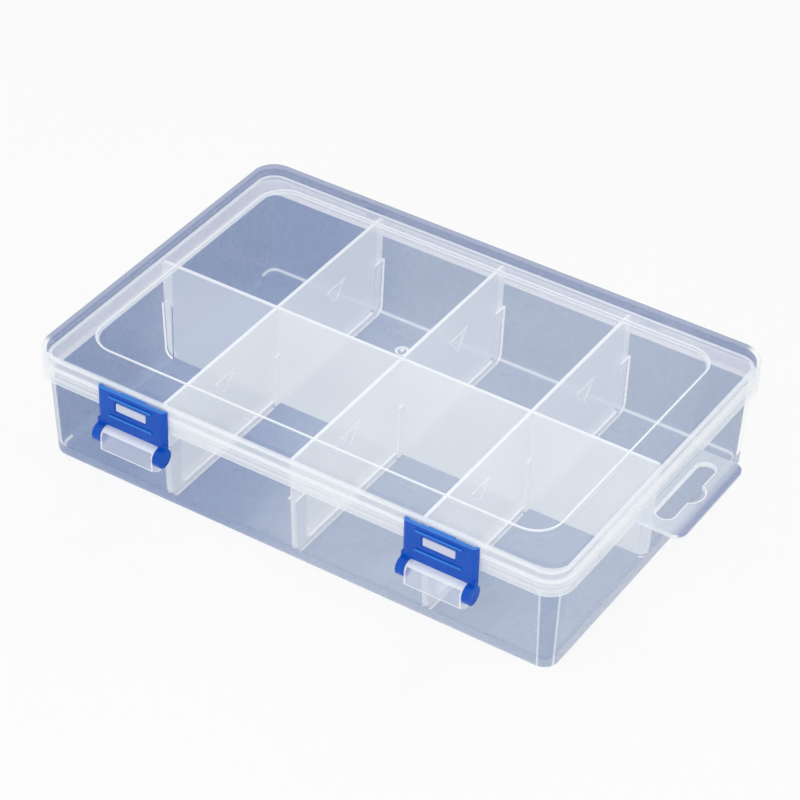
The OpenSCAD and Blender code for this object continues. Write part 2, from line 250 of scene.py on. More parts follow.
class PlasticSettings(bpy.types.PropertyGroup):
    """Colours and clearness of the plastics, with the tints for their painted highlights, painted
    light and painted shade.
    """

    deep_tint: FloatVectorProperty(
        name="Deep tint", description="Colour of the clear plastic where it is looked into",
        subtype="COLOR", size=3, default=(0.125, 0.215, 0.45), min=0, max=1)
    deep_light: FloatVectorProperty(
        name="Deep light tint", description="The same colour where the light reaches best",
        subtype="COLOR", size=3, default=(0.29, 0.37, 0.54), min=0, max=1)
    deep_body: FloatProperty(
        name="Deep body", description="How much an inner face of the tray hides",
        default=0.88, min=0, max=1, subtype="FACTOR")
    skin_tint: FloatVectorProperty(
        name="Skin tint", description="Colour of the haze on the outer faces", subtype="COLOR",
        size=3, default=(0.50, 0.57, 0.70), min=0, max=1)
    skin_body: FloatProperty(
        name="Skin body", description="How much an outer face hides",
        default=0.1, min=0, max=1, subtype="FACTOR")
    rim_tint: FloatVectorProperty(
        name="Rim tint", description="Colour of the doubled plastic round the rim",
        subtype="COLOR", size=3, default=(0.60, 0.64, 0.78), min=0, max=1)
    rim_body: FloatProperty(
        name="Rim body", description="How much the rim's plastic hides",
        default=0.66, min=0, max=1, subtype="FACTOR")
    shade_tint: FloatVectorProperty(
        name="Shade tint", description="Colour inside the lid's skirt and at the tab's edge",
        subtype="COLOR", size=3, default=(0.155, 0.22, 0.43), min=0, max=1)
    shade_body: FloatProperty(
        name="Shade body", description="How much the inside of the lid's skirt hides",
        default=0.88, min=0, max=1, subtype="FACTOR")
    tab_tint: FloatVectorProperty(
        name="Tab tint", description="Colour of the hang tab", subtype="COLOR",
        size=3, default=(0.65, 0.72, 0.80), min=0, max=1)
    block_tint: FloatVectorProperty(
        name="Pivot block tint", description="Colour of the clasps' pivot blocks",
        subtype="COLOR", size=3, default=(0.64, 0.69, 0.84), min=0, max=1)
    foot_tint: FloatVectorProperty(
        name="Foot tint", description="Colour of the edge round the floor", subtype="COLOR",
        size=3, default=(0.46, 0.49, 0.68), min=0, max=1)
    lid_tint: FloatVectorProperty(
        name="Lid tint", description="Colour of the lid's haze", subtype="COLOR",
        size=3, default=(0.66, 0.73, 0.83), min=0, max=1)
    lid_body: FloatProperty(
        name="Lid body", description="How much of what is behind the lid is hidden",
        default=0.07, min=0, max=1, subtype="FACTOR")
    edge_tint: FloatVectorProperty(
        name="Edge tint", description="Colour where light gathers in an edge", subtype="COLOR",
        size=3, default=(0.86, 0.90, 0.96), min=0, max=1)
    milky_tint: FloatVectorProperty(
        name="Divider tint", description="Colour of the dividers", subtype="COLOR",
        size=3, default=(0.84, 0.885, 0.92), min=0, max=1)
    milky_shade: FloatVectorProperty(
        name="Divider shade", description="Colour of the dividers on the hinge side",
        subtype="COLOR", size=3, default=(0.74, 0.80, 0.89), min=0, max=1)
    milky_body: FloatProperty(
        name="Divider body", description="How much of what is behind a divider is hidden",
        default=0.85, min=0, max=1, subtype="FACTOR")
    gloss: FloatProperty(
        name="Gloss", description="Strength of the clear plastics' mirror gloss",
        default=0.45, min=0, max=2)
    clasp_blue: FloatVectorProperty(
        name="Clasp blue", description="Colour of the clasps", subtype="COLOR",
        size=3, default=(0.001, 0.078, 0.48), min=0, max=1)
    clasp_light: FloatVectorProperty(
        name="Clasp light blue", description="Colour where light gathers in the clasps' edges",
        subtype="COLOR", size=3, default=(0.05, 0.30, 0.80), min=0, max=1)
    clasp_rough: FloatProperty(
        name="Clasp roughness", description="Roughness of the clasps", default=0.26, min=0, max=1)


class StageSettings(bpy.types.PropertyGroup):
    """The camera, the lamps and the floor."""

    camera_place: FloatVectorProperty(
        name="Camera place", description="Where the camera stands", subtype="TRANSLATION",
        unit="LENGTH", size=3, default=(0.4315, -0.69186, 0.66187))
    camera_azimuth: FloatProperty(
        name="Azimuth", description="How far the camera stands round to the right",
        default=math.radians(31.969), subtype="ANGLE")
    camera_elevation: FloatProperty(
        name="Elevation", description="How steeply the camera looks down",
        default=math.radians(38.051), subtype="ANGLE")
    camera_roll: FloatProperty(
        name="Roll", description="Turn of the camera about its own view",
        default=math.radians(1.578), subtype="ANGLE")
    camera_lens: FloatProperty(
        name="Lens", description="Focal length of the camera in millimetres", default=141.63)
    floor_white: FloatProperty(
        name="Floor white", description="How white the floor is", default=0.92, min=0, max=1)
    sky: FloatProperty(
        name="Sky", description="Strength of the even light all round", default=0.75, min=0)


# Nodes


class Bench:
    """Adds nodes to one material's tree and joins them."""

    def __init__(self, name):
        self.material = bpy.data.materials.new(name)
        self.material.use_nodes = True
        self.tree = self.material.node_tree
        self.tree.nodes.clear()
        self.place = self.add("ShaderNodeTexCoord").outputs["Object"]
        parts = self.add("ShaderNodeSeparateXYZ", Vector=self.place)
        self.x, self.y, self.z = parts.outputs
        self.side_x = self.calc("ABSOLUTE", self.x)
        self.side_y = self.calc("ABSOLUTE", self.y)
        facing = self.add("ShaderNodeTexCoord").outputs["Normal"]
        self.face_x, self.face_y, self.face_z = self.add(
            "ShaderNodeSeparateXYZ", Vector=facing).outputs
        self.up = self.fade(self.face_z, 0.4, 0.7)

    def add(self, kind, settings=None, **inputs):
        node = self.tree.nodes.new(kind)
        for key, value in (settings or {}).items():
            setattr(node, key, value)
        for key, value in inputs.items():
            self.feed(node.inputs[key.replace("_", " ")], value)
        return node

    def feed(self, socket, value):
        if isinstance(value, bpy.types.NodeSocket):
            self.tree.links.new(value, socket)
        else:
            socket.default_value = value

    def calc(self, operation, *values):
        """The result of one Math node on numbers or sockets."""
        node = self.tree.nodes.new("ShaderNodeMath")
        node.operation = operation
        for socket, value in zip(node.inputs, values):
            self.feed(socket, value)
        return node.outputs[0]

    def fade(self, value, start, end, low=0.0, high=1.0):
        """A smooth step from low at start to high at end."""
        node = self.add(
            "ShaderNodeMapRange", {"interpolation_type": "SMOOTHSTEP"},
            Value=value, From_Min=start, From_Max=end, To_Min=low, To_Max=high)
        return node.outputs[0]

    def line(self, distance, middle, half, soft=LINE):
        """A line where a distance is near its middle, 1 on it and 0 away from it."""
        away = self.calc("ABSOLUTE", self.calc("SUBTRACT", distance, middle))
        return self.fade(away, half, half + soft, 1.0, 0.0)

    def strongest(self, *values):
        result = values[0]
        for value in values[1:]:
            result = self.calc("MAXIMUM", result, value)
        return result

    def both(self, *values):
        result = values[0]
        for value in values[1:]:
            result = self.calc("MULTIPLY", result, value)
        return result

    def without(self, value):
        return self.calc("SUBTRACT", 1.0, value)

    def above(self, value, limit, soft=LINE):
        return self.fade(value, limit - soft / 2, limit + soft / 2)

    def below(self, value, limit, soft=LINE):
        return self.fade(value, limit - soft / 2, limit + soft / 2, 1.0, 0.0)

    def span(self, one, other):
        """The length across two sides at right angles."""
        return self.calc("SQRT", self.calc(
            "ADD", self.calc("MULTIPLY", one, one), self.calc("MULTIPLY", other, other)))

    def past_corner(self, half_x, half_y, radius):
        """How far a point lies past the middle of its rounded corner, along x and along y."""
        return [
            self.calc("MAXIMUM", self.calc("SUBTRACT", side, half - radius), 0.0)
            for side, half in ((self.side_x, half_x), (self.side_y, half_y))]

    def outward(self, half_x, half_y, radius):
        """How far a face of a wall looks out of the case: 1 is out, -1 is in, 0 is across."""
        over_x, over_y = self.past_corner(half_x, half_y, radius)
        over_x = self.calc("MULTIPLY", over_x, self.calc("SIGN", self.x))
        over_y = self.calc("MULTIPLY", over_y, self.calc("SIGN", self.y))
        along = self.calc(
            "ADD", self.calc("MULTIPLY", over_x, self.face_x),
            self.calc("MULTIPLY", over_y, self.face_y))
        return self.calc("DIVIDE", along, self.calc("ADD", self.span(over_x, over_y), TINY))

    def outline(self, half_x, half_y, radius):
        """Distance from a rounded rectangle in plan, below 0 inside it."""
        over_x = self.calc("SUBTRACT", self.side_x, half_x - radius)
        over_y = self.calc("SUBTRACT", self.side_y, half_y - radius)
        out = self.span(*self.past_corner(half_x, half_y, radius))
        inside = self.calc("MINIMUM", self.calc("MAXIMUM", over_x, over_y), 0.0)
        return self.calc("SUBTRACT", self.calc("ADD", out, inside), radius)

    def lit_side(self):
        """Painted light: rises from the darker compartments furthest from the tab to the lighter
        others.
        """
        return self.fade(
            self.calc("MULTIPLY_ADD", self.y, LIT_SLANT, self.x), LIT_FROM, LIT_TO)

    def corner_angle(self, half_x, half_y, radius):
        """Angle round a corner, from 0 at the short sides to 90 degrees at the long ones."""
        over_x, over_y = self.past_corner(half_x, half_y, radius)
        return self.calc("ARCTAN2", over_y, over_x)

    def beside_clasp(self, case):
        """Distance along x from the middle of the nearer clasp."""
        return self.calc("ABSOLUTE", self.calc("SUBTRACT", self.side_x, case.clasp_place))

    def window(self, case, outer):
        """The part of an outer face that shows in a clasp's window, which gets a painted light
        colour where the clasp's shadow falls.
        """
        half_width, half_height = WINDOW
        return self.both(
            self.below(self.beside_clasp(case), half_width), outer, self.below(self.y, 0.0),
            self.line(self.z, case.window_middle, half_height))

    def blend(self, amount, low, high):
        """A colour between two colours."""
        node = self.add("ShaderNodeMix", {"data_type": "RGBA"})
        self.feed(node.inputs[0], amount)
        self.feed(node.inputs[6], low)
        self.feed(node.inputs[7], high)
        return node.outputs[2]

    def cloud(self, scale):
        """A soft noise through the object, from 0 to 1."""
        return self.add(
            "ShaderNodeTexNoise", Vector=self.place, Scale=scale, Detail=2.0).outputs[0]

    def finish(self, shader):
        out = self.add("ShaderNodeOutputMaterial")
        self.tree.links.new(shader, out.inputs["Surface"])
        return self.material


def rgba(colour, alpha=1.0):
    return (*colour, alpha)


def see_through(bench, colour, solid, gloss, rough=0.08, lamp=0.15):
    """A clear plastic from its colour, how much it hides, and its mirror gloss.

    Only a small part of the plastic stands in the way of lamplight and bounced light.
    """
    ripple = bench.add(
        "ShaderNodeBump", Strength=0.05, Distance=0.0004, Height=bench.cloud(90.0)).outputs[0]
    front = bench.without(bench.add("ShaderNodeNewGeometry").outputs["Backfacing"])
    path = bench.add("ShaderNodeLightPath").outputs
    shade = bench.calc("MAXIMUM", path["Is Shadow Ray"], path["Is Diffuse Ray"])
    hides = bench.both(solid, front, bench.fade(shade, 0.0, 1.0, 1.0, lamp))
    body = bench.add(
        "ShaderNodeBsdfPrincipled", Base_Color=colour, Alpha=hides, IOR=PLASTIC_IOR, Normal=ripple,
        Roughness=bench.fade(bench.cloud(140.0), 0.3, 0.7, rough + 0.15, rough + 0.25))
    mirror = bench.add(
        "ShaderNodeBsdfGlossy", Color=(1, 1, 1, 1), Roughness=rough, Normal=ripple)
    share = bench.add("ShaderNodeFresnel", IOR=PLASTIC_IOR, Normal=ripple).outputs[0]
    share = bench.both(share, front, bench.without(shade), gloss)
    mixed = bench.add("ShaderNodeMixShader")
    bench.feed(mixed.inputs[0], share)
    bench.tree.links.new(body.outputs[0], mixed.inputs[1])
    bench.tree.links.new(mirror.outputs[0], mixed.inputs[2])
    bench.material.use_backface_culling = True
    return bench.finish(mixed.outputs[0])


def dress(node, material):
    """Gives a CAD node one material in all its slots."""
    slots = NODES[node].data.materials
    for index in range(len(slots)):
        slots[index] = material
    if not slots:
        slots.append(material)


# The plastics


def layers(bench, first, *rest):
    """Colours and bodies laid over each other: each is (amount, colour, body)."""
    colour, body = first
    for amount, over, more in rest:
        over = over if isinstance(over, bpy.types.NodeSocket) else rgba(over)
        colour = bench.blend(amount, colour, over)
        body = bench.add("ShaderNodeMix", {"data_type": "FLOAT"}, A=body, B=more,
                         Factor=amount).outputs[0]
    return colour, body


def drifting(bench, tint, amount=0.06):
    """A colour that drifts a little from place to place, as thin moulded plastic does."""
    light = [min(1.0, c * (1 + amount) + 0.01) for c in tint]
    dark = [c * (1 - amount) for c in tint]
    return bench.blend(bench.fade(bench.cloud(14.0), 0.3, 0.7), rgba(dark), rgba(light))


def tray_plastic(case, plastic):
    bench = Bench("clear_tray_plastic")
    half_x, half_y = case.length / 2, case.width / 2
    plan = bench.outline(half_x, half_y, case.corner)
    out = bench.outward(half_x, half_y, case.corner)
    inner = bench.fade(bench.calc("MULTIPLY", out, -1.0), 0.25, 0.5)
    outer = bench.fade(out, 0.25, 0.5)
    high = bench.above(bench.z, case.band)
    low = bench.without(high)
    across = bench.both(
        bench.without(inner), bench.without(outer), bench.without(bench.up), low)

    # The inner faces, the floor, and the channels for the dividers, with painted highlight lines
    # along the channels' edges and tops, their low edge and the floor
    looked_into = bench.strongest(inner, bench.both(bench.up, bench.below(bench.z, FLOOR_ZONE)))
    ends = bench.both(
        bench.below(bench.side_y, END_CHANNEL), bench.above(bench.side_x, half_x - WALL_ZONE))
    plain = bench.fade(ends, 0.0, 1.0, 1.0, SHOWS["end_channel"])
    rib_face = bench.both(
        across, bench.above(bench.z, CHANNEL_FOOT), bench.below(plan, -CHANNEL_DEPTH), plain)
    rib_edge = bench.both(
        bench.below(plan, -CHANNEL_EDGE), inner, bench.above(bench.z, CHANNEL_BEND), plain)
    low_edge = bench.both(bench.up, bench.line(bench.z, case.rib_low, LOW_EDGE))
    rib_end = bench.both(bench.up, bench.line(bench.z, case.rib_top, CHANNEL_TOP), plain)
    floor_line = bench.both(
        bench.line(bench.z, FLOOR_LINE, HAIR), bench.above(bench.side_y, half_y - WALL_ZONE),
        inner, SHOWS["floor_line"])

    # The rim and its hem, with painted highlight lines along the rim's top and the hem's edges
    hem = bench.both(outer, high, bench.above(plan, -HEM_SKIN))
    behind_hem = bench.both(inner, high)
    rim_edge = bench.both(bench.up, bench.above(bench.z, case.rim - 0.001))
    hem_low = bench.both(
        outer, bench.line(bench.z, case.band + LINE, LINE), SHOWS["hem_low"])
    hem_top = bench.both(
        outer, bench.line(bench.z, case.rim - 0.0009, LINE), SHOWS["hem_top"])

    # The outer faces: the corners, and the part under the cavity. The corner lines are painted
    # highlights, and the corner faces take the deep light tint as painted light
    turn = bench.corner_angle(half_x, half_y, case.corner)
    corner_line = bench.both(
        bench.strongest(bench.line(turn, math.radians(FRONT_LINE), 0.04, 0.04),
                        bench.line(turn, math.radians(SIDE_LINE), 0.05, 0.04)),
        outer, low, bench.above(bench.z, CORNER_FOOT), bench.above(bench.x, 0.0),
        SHOWS["corner_line"])
    corner_face = bench.both(
        bench.above(turn, math.radians(CORNER_FROM), 0.1),
        bench.below(turn, math.radians(CORNER_TO), 0.1), outer, low)
    left_corner = bench.both(
        bench.above(turn, math.radians(LEFT_CORNER_FROM), 0.25),
        bench.below(turn, math.radians(LEFT_CORNER_TO), 0.35), outer, low,
        bench.below(bench.x, 0.0))
    foot_top = bench.calc(
        "MULTIPLY_ADD", bench.calc("ABSOLUTE", bench.face_x), -UNDER_RISE, bench.z)
    under = bench.both(outer, bench.below(foot_top, UNDER_TOP, 0.0004))
    foot = bench.both(outer, bench.below(bench.z, FOOT_TOP, 0.0006))

    # The clasps' windows, in painted light where the clasps' shadows fall, and the pivot blocks,
    # with painted highlight lines round their frames
    pane = bench.window(case, outer)
    beside = bench.beside_clasp(case)
    block = bench.both(
        bench.below(bench.y, -half_y - 0.0001, 0.0001),
        bench.below(beside, case.block_width / 2 + 0.0001), low)
    block_frame = bench.both(block, bench.strongest(
        bench.line(beside, case.block_width / 2, FRAME),
        bench.above(bench.z, case.block_top - 0.0009),
        bench.line(bench.z, case.block_low + 0.0022, LINE),
        bench.below(bench.z, case.block_low + 0.0008)))

    # The hang tab and its slot: painted shade at the tab's outer edge, and painted highlight lines
    # on the tab's sides and round the slot
    tab = bench.both(
        bench.above(bench.x, half_x + 0.0002), bench.below(bench.z, case.band + 0.002))
    shade_from, shade_to = TAB_SHADE
    tab_shade = bench.both(tab, bench.fade(
        bench.x, case.tab_edge - shade_from, case.tab_edge - shade_to))
    tab_sides = bench.both(tab, bench.fade(bench.calc("ABSOLUTE", bench.face_y), 0.7, 0.9))
    along = bench.calc("MAXIMUM", bench.calc(
        "SUBTRACT", bench.side_y, (case.slot_length - case.slot_width) / 2), 0.0)
    aside = bench.calc("SUBTRACT", bench.x, case.slot_place)
    reach = bench.calc("SUBTRACT", bench.span(along, aside), case.slot_width / 2)
    hump_x = bench.calc("SUBTRACT", bench.x, case.slot_place + HUMP_SHIFT)
    hump = bench.calc("SUBTRACT", bench.span(bench.y, hump_x), HUMP_RADIUS)
    hump = bench.calc("MAXIMUM", hump, bench.calc("MULTIPLY", aside, -1.0))
    slot_line = bench.both(tab, bench.below(bench.calc("MINIMUM", reach, hump), FRAME))
    slot_wall = bench.both(tab, bench.without(bench.up), slot_line)

    # The deep tint with painted light: it turns to the lighter deep light tint away from the
    # compartments furthest from the tab
    deep = bench.blend(bench.lit_side(), rgba(plastic.deep_tint), rgba(plastic.deep_light))
    start = drifting(bench, plastic.skin_tint), plastic.skin_body
    # Painted highlights: every line gathered here takes the edge tint
    edges = bench.strongest(
        rib_edge, low_edge, rib_end, floor_line, rim_edge, hem_low, hem_top, corner_line,
        block_frame, tab_sides, slot_line, slot_wall)
    colour, body = layers(
        bench, start,
        (looked_into, deep, plastic.deep_body),
        (rib_face, plastic.rim_tint, BODY["channel"]),
        (behind_hem, plastic.rim_tint, plastic.rim_body),
        (hem, plastic.milky_tint, BODY["hem"]),
        (pane, plastic.edge_tint, BODY["window"]),
        (corner_face, plastic.deep_light, BODY["corner"]),
        (left_corner, deep, BODY["left_corner"]),
        (block, plastic.block_tint, BODY["block"]),
        (tab, plastic.tab_tint, BODY["tab"]),
        (tab_shade, plastic.shade_tint, BODY["tab_shade"]),
        (under, deep, BODY["under"]),
        (foot, plastic.foot_tint, BODY["foot"]),
        (edges, plastic.edge_tint, BODY["tray_highlight"]))
    return see_through(bench, colour, body, plastic.gloss)


def lid_plastic(case, plastic):
    bench = Bench("clear_lid_plastic")
    half_x, half_y = case.length / 2, case.width / 2
    plan = bench.outline(half_x, half_y, case.corner)
    out = bench.outward(half_x, half_y, case.corner)
    inner = bench.fade(bench.calc("MULTIPLY", out, -1.0), 0.25, 0.5)
    outer = bench.fade(out, 0.6, 0.9)

    # The sunk panel's step, with painted highlight lines along it, and the mark of the gate, with
    # a painted highlight ring and dot
    panel = bench.outline(
        half_x - case.panel_border, half_y - case.panel_border, case.panel_corner)
    step = bench.both(bench.line(panel, 0.0, STEP), bench.without(bench.up))
    step_top = bench.both(bench.up, bench.line(panel, 0.0002, LINE))
    step_low = bench.both(bench.up, bench.line(panel, -0.0003, LINE), SHOWS["step_low"])
    from_gate = bench.span(bench.x, bench.y)
    gate = bench.both(bench.strongest(
        bench.line(from_gate, GATE_RING, LINE), bench.below(from_gate, GATE_DOT)),
        bench.above(bench.z, case.rim))

    # The skirt: painted shade on its inner face, painted highlight lines low on its outer face,
    # and painted light where it shows in a clasp's window
    in_skirt = bench.both(inner, bench.above(plan, -SKIRT_DEPTH))
    skirt = bench.both(outer, bench.above(plan, -SKIRT_SKIN))
    skirt_low = bench.both(
        outer, bench.below(bench.z, case.rim + 0.0005), SHOWS["skirt_low"])
    skirt_middle = bench.both(
        outer, bench.line(bench.z, case.rim + 0.0014, LINE), SHOWS["skirt_middle"])
    pane = bench.window(case, outer)

    # The upper edge, with painted shade on the sides away from the clasps and the tab, where the
    # mirror gloss is also weaker, and a painted highlight line on the other sides
    near = bench.strongest(
        bench.below(bench.y, -half_y + NEAR_ZONE, 0.004),
        bench.above(bench.x, half_x - NEAR_ZONE, 0.004))
    edge_high = bench.above(bench.z, case.height - case.lid_edge)
    rounded = bench.both(bench.above(plan, -case.lid_edge), edge_high, bench.without(inner))
    skirt_top = bench.both(
        bench.line(bench.z, case.height - case.lid_edge * 0.55, 0.0004), rounded, near,
        SHOWS["skirt_top"])
    far_edge = bench.both(
        bench.above(plan, -FAR_EDGE), edge_high, bench.without(inner), bench.without(near),
        SHOWS["far_edge"])

    start = drifting(bench, plastic.lid_tint), plastic.lid_body
    # Painted highlights: the gate, the step's lines and the skirt's lines take the edge tint
    edges = bench.strongest(gate, step_top, step_low, skirt_low, skirt_middle, skirt_top)
    colour, body = layers(
        bench, start,
        # Painted shade inside the skirt and along the far upper edge
        (bench.strongest(in_skirt, far_edge), plastic.shade_tint, plastic.shade_body),
        (skirt, plastic.milky_tint, BODY["skirt"]),
        (pane, plastic.edge_tint, BODY["window"]),
        (step, plastic.milky_tint, BODY["step"]),
        (edges, plastic.edge_tint, BODY["lid_edge"]))
    gloss = bench.fade(far_edge, 0.0, 0.8, plastic.gloss, plastic.gloss * 0.1)
    return see_through(bench, colour, body, gloss)


def divider_plastic(case, plastic):
    bench = Bench("milky_divider_plastic")
    # Painted highlights along the dividers' upper edges and ends
    top = bench.above(bench.z, case.divider_top - 0.0004)
    long_end = bench.both(
        bench.above(bench.side_x, case.length / 2 - DIVIDER_END), SHOWS["divider_end"])
    cross_end = bench.both(
        bench.above(bench.side_y, case.width / 2 - DIVIDER_END), SHOWS["divider_end"])
    # Painted shade: the left part of the long divider and the dividers on the hinge side take the
    # divider shade
    long_left_shade = bench.both(
        bench.below(bench.side_y, case.divider_thick),
        bench.below(bench.x, -case.divider_pitch))
    shaded = bench.strongest(bench.above(bench.y, 0.003, 0.01), long_left_shade)
    colour = bench.blend(
        shaded, drifting(bench, plastic.milky_tint, 0.03), rgba(plastic.milky_shade))
    colour, body = layers(
        bench, (colour, plastic.milky_body),
        (long_left_shade, plastic.milky_shade, plastic.milky_body * BODY["long_left_shade_share"]),
        (bench.strongest(top, cross_end, long_end), plastic.edge_tint, BODY["divider_highlight"]))
    return see_through(bench, colour, body, plastic.gloss, rough=0.16)


def mark_plastic(plastic):
    """The dividers' plastic where light gathers in a raised stroke."""
    bench = Bench("milky_mark_plastic")
    tint = drifting(bench, plastic.edge_tint, 0.03)
    return see_through(bench, tint, BODY["mark"], plastic.gloss, rough=0.16)


def catch_plastic(plastic):
    """The rim's plastic where it is thick and hides nearly all that is behind it."""
    bench = Bench("thick_catch_plastic")
    tint = drifting(bench, plastic.rim_tint, 0.03)
    return see_through(bench, tint, BODY["catch"], plastic.gloss, rough=0.12)


def clasp_plastic(case, plastic):
    bench = Bench("blue_clasp_plastic")
    drift = bench.fade(bench.cloud(60.0), 0.35, 0.65)
    light = [min(1.0, c * 1.1 + 0.004) for c in plastic.clasp_blue]
    face_at = -case.width / 2 - case.clasp_face
    # Painted highlights: the light blue on the ribs and on the flange's upper face
    ribs = bench.both(
        bench.below(bench.y, face_at - 0.0002, 0.0002),
        bench.above(bench.z, case.block_top + 0.001), SHOWS["clasp_rib"])
    flange = bench.both(
        bench.up, bench.above(bench.z, case.clasp_top - 0.0003), SHOWS["clasp_flange"])
    colour, _ = layers(
        bench, (bench.blend(drift, rgba(plastic.clasp_blue), rgba(light)), 1.0),
        (bench.strongest(ribs, flange), plastic.clasp_light, 1.0))
    grain = bench.add(
        "ShaderNodeBump", Strength=0.04, Distance=0.0002, Height=bench.cloud(500.0))
    surface = bench.add(
        "ShaderNodeBsdfPrincipled", Base_Color=colour, IOR=PLASTIC_IOR, Specular_IOR_Level=0.22,
        Roughness=bench.fade(bench.cloud(150.0), 0.3, 0.7,
                             plastic.clasp_rough * 0.9, plastic.clasp_rough * 1.1))
    bench.tree.links.new(grain.outputs[0], surface.inputs["Normal"])
    return bench.finish(surface.outputs[0])


# New pieces


def mesh_object(work, name, material):
    """An object in the scene from a finished bmesh, with one material."""
    mesh = bpy.data.meshes.new(name)
    work.to_mesh(mesh)
    work.free()
    mesh.materials.append(material)
    made = bpy.data.objects.new(name, mesh)
    bpy.context.scene.collection.objects.link(made)
    return made


# The marks on the dividers


def add_mark(case, name, divider, middle_y, middle_z, material):
    """A raised open triangle, point down, on a cross divider's face towards the hang tab."""
    face_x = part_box(divider)[1][0]
    work = bmesh.new()
    bmesh.ops.create_circle(work, cap_ends=True, segments=3, radius=1.0)
    bmesh.ops.scale(
        work, vec=(case.mark_width / math.sqrt(3), case.mark_height / 1.5, 1.0), verts=work.verts)
    inner = list(work.faces)
    bmesh.ops.inset_region(
        work, faces=inner, thickness=case.mark_stroke, use_even_offset=True, use_boundary=True)
    bmesh.ops.delete(work, geom=inner, context="FACES")
    bmesh.ops.solidify(work, geom=work.faces[:], thickness=case.mark_proud)
    turn = Matrix(((0, 0, 1), (1, 0, 0), (0, -1, 0))).to_4x4()
    bmesh.ops.transform(work, matrix=turn, verts=work.verts)
    lowest = min(vert.co.x for vert in work.verts)
    bmesh.ops.translate(
        work, vec=(face_x - lowest - case.mark_proud * MARK_SINK, middle_y, middle_z),
        verts=work.verts)
    bmesh.ops.recalc_face_normals(work, faces=work.faces[:])
    mark = mesh_object(work, name, material)
    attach(mark, "tray_body")


# The catches that show in the clasps' windows


def add_catch(case, name, side, material):
    """A block on the hem with rounded edges, which the window of a closed clasp goes over."""
    hem_y = -case.width / 2
    size = (case.catch_width, case.clasp_face + case.catch_root, case.catch_height)
    middle = (side * case.clasp_place, hem_y + (case.catch_root - case.clasp_face) / 2,
              case.window_middle - case.catch_drop)
    work = bmesh.new()
    bmesh.ops.create_cube(work, size=1.0)
    bmesh.ops.scale(work, vec=size, verts=work.verts)
    bmesh.ops.bevel(
        work, geom=work.edges[:], offset=0.0004, affect="EDGES", segments=3, profile=0.5,
        material=-1)
    bmesh.ops.translate(work, vec=middle, verts=work.verts)
    bmesh.ops.recalc_face_normals(work, faces=work.faces[:])
    catch = mesh_object(work, name, material)
    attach(catch, "tray_body")


# The stage


def aim(place, target):
    """A turned and placed matrix that looks from one place at another."""
    back = (Vector(place) - Vector(target)).normalized()
    right = Vector((0, 0, 1)).cross(back).normalized()
    up = back.cross(right)
    turn = Matrix((right, up, back)).transposed().to_4x4()
    return Matrix.Translation(place) @ turn


def add_camera(stage):
    data = bpy.data.cameras.new("camera")
    camera = bpy.data.objects.new("camera", data)
    bpy.context.scene.collection.objects.link(camera)
    az, el, roll = stage.camera_azimuth, stage.camera_elevation, stage.camera_roll
    back = Vector((math.sin(az) * math.cos(el), -math.cos(az) * math.cos(el), math.sin(el)))
    level = Vector((0, 0, 1)).cross(back).normalized()
    upright = back.cross(level)
    right = level * math.cos(roll) + upright * math.sin(roll)
    up = upright * math.cos(roll) - level * math.sin(roll)
    turn = Matrix((right, up, back)).transposed().to_4x4()
    camera.matrix_world = Matrix.Translation(stage.camera_place) @ turn
    data.sensor_width = 36.0
    data.lens = stage.camera_lens
    data.clip_start = 0.01
    data.clip_end = 50.0
    bpy.context.scene.camera = camera


def add_lamp(name, place, target, size, power):
    data = bpy.data.lights.new(name, "AREA")
    data.shape = "RECTANGLE"
    data.size, data.size_y = size
    data.energy = power
    lamp = bpy.data.objects.new(name, data)
    bpy.context.scene.collection.objects.link(lamp)
    lamp.matrix_world = aim(place, target)


def floor_paint(stage):
    bench = Bench("pale_floor_paint")
    grain = bench.fade(bench.cloud(6.0), 0.3, 0.7)
    white = [stage.floor_white] * 3
    lighter = [level * 1.01 for level in white]
    paint = bench.add(
        "ShaderNodeBsdfPrincipled", Roughness=0.9,
        Base_Color=bench.blend(grain, rgba(white), rgba(lighter)))
    glow = bench.add("ShaderNodeEmission", Color=(1, 1, 1, 1), Strength=1.0)
    seen = bench.add("ShaderNodeLightPath").outputs["Is Camera Ray"]
    mix = bench.add("ShaderNodeMixShader")
    bench.feed(mix.inputs[0], bench.calc("MULTIPLY", seen, 0.6))
    bench.tree.links.new(paint.outputs[0], mix.inputs[1])
    bench.tree.links.new(glow.outputs[0], mix.inputs[2])
    return bench.finish(mix.outputs[0])


def add_floor(stage):
    work = bmesh.new()
    bmesh.ops.create_grid(work, x_segments=1, y_segments=1, size=4.0)
    floor = mesh_object(work, "floor", floor_paint(stage))


def light_world(stage):
    world = bpy.data.worlds.new("even_light")
    world.use_nodes = True
    tree = world.node_tree
    tree.nodes.clear()
    sky = tree.nodes.new("ShaderNodeBackground")
    sky.inputs["Color"].default_value = (1, 1, 1, 1)
    sky.inputs["Strength"].default_value = stage.sky
    out = tree.nodes.new("ShaderNodeOutputWorld")
    tree.links.new(sky.outputs[0], out.inputs["Surface"])
    bpy.context.scene.world = world


# Operators


class FinishTray(bpy.types.Operator):
    """Gives the tray its clear plastic."""

    bl_idname = "storage_case.finish_tray"
    bl_label = "Finish Tray"

    def execute(self, context):
        looks = context.scene
        dress("tray", tray_plastic(looks.case_sizes, looks.case_plastics))
        return {"FINISHED"}


class FinishLid(bpy.types.Operator):
    """Gives the lid its clear plastic."""

    bl_idname = "storage_case.finish_lid"
    bl_label = "Finish Lid"

    def execute(self, context):
        looks = context.scene
        dress("lid", lid_plastic(looks.case_sizes, looks.case_plastics))
        return {"FINISHED"}


